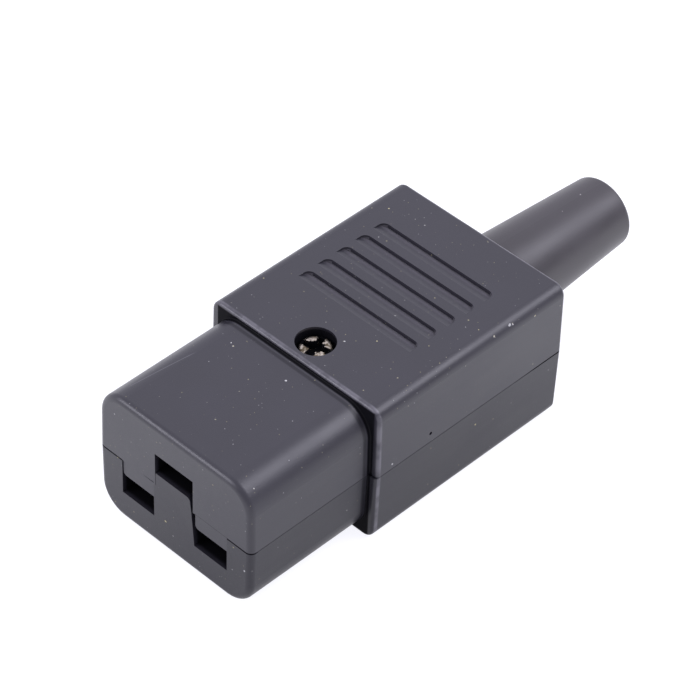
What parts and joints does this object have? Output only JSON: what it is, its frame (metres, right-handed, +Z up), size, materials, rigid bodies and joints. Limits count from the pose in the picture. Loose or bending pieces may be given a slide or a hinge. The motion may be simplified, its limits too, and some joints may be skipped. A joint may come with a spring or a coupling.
{
  "type": "rewirable mains connector",
  "caption": "Rewirable high-current mains connector: rectangular nose with flat-pin sockets, screwed grip body with finger grooves and a tapered cord boot.",
  "frame": {"origin": "middle of the mating face, on the plane where the two shells meet", "axes": "+X out of the mating face, +Y to the neutral socket's side, +Z up, away from the resting face"},
  "size_m": [0.0817, 0.0304, 0.0222],
  "materials": {
    "black_plastic": "black moulded polyamide, satin with a very fine texture",
    "black_rubber": "matte black flexible boot",
    "contact_brass": "bare folded brass sheet",
    "plated_steel": "dull nickel-plated steel, soiled",
    "clamp_plastic": "moulded plastic"
  },
  "bodies": {
    "root": {"upper_shell": "black_plastic", "lower_shell": "black_plastic", "boot": "black_rubber", "cord_clamp": "clamp_plastic", "line_contact": "contact_brass", "neutral_contact": "contact_brass", "earth_contact": "contact_brass", "line_wire_clamp": "plated_steel", "neutral_wire_clamp": "plated_steel", "earth_wire_clamp": "plated_steel", "line_terminal_screw": "plated_steel", "neutral_terminal_screw": "plated_steel", "earth_terminal_screw": "plated_steel", "housing_nut": "plated_steel", "housing_screw": "plated_steel", "line_side_clamp_screw": "plated_steel", "neutral_side_clamp_screw": "plated_steel"}
  },
  "joints": []
}
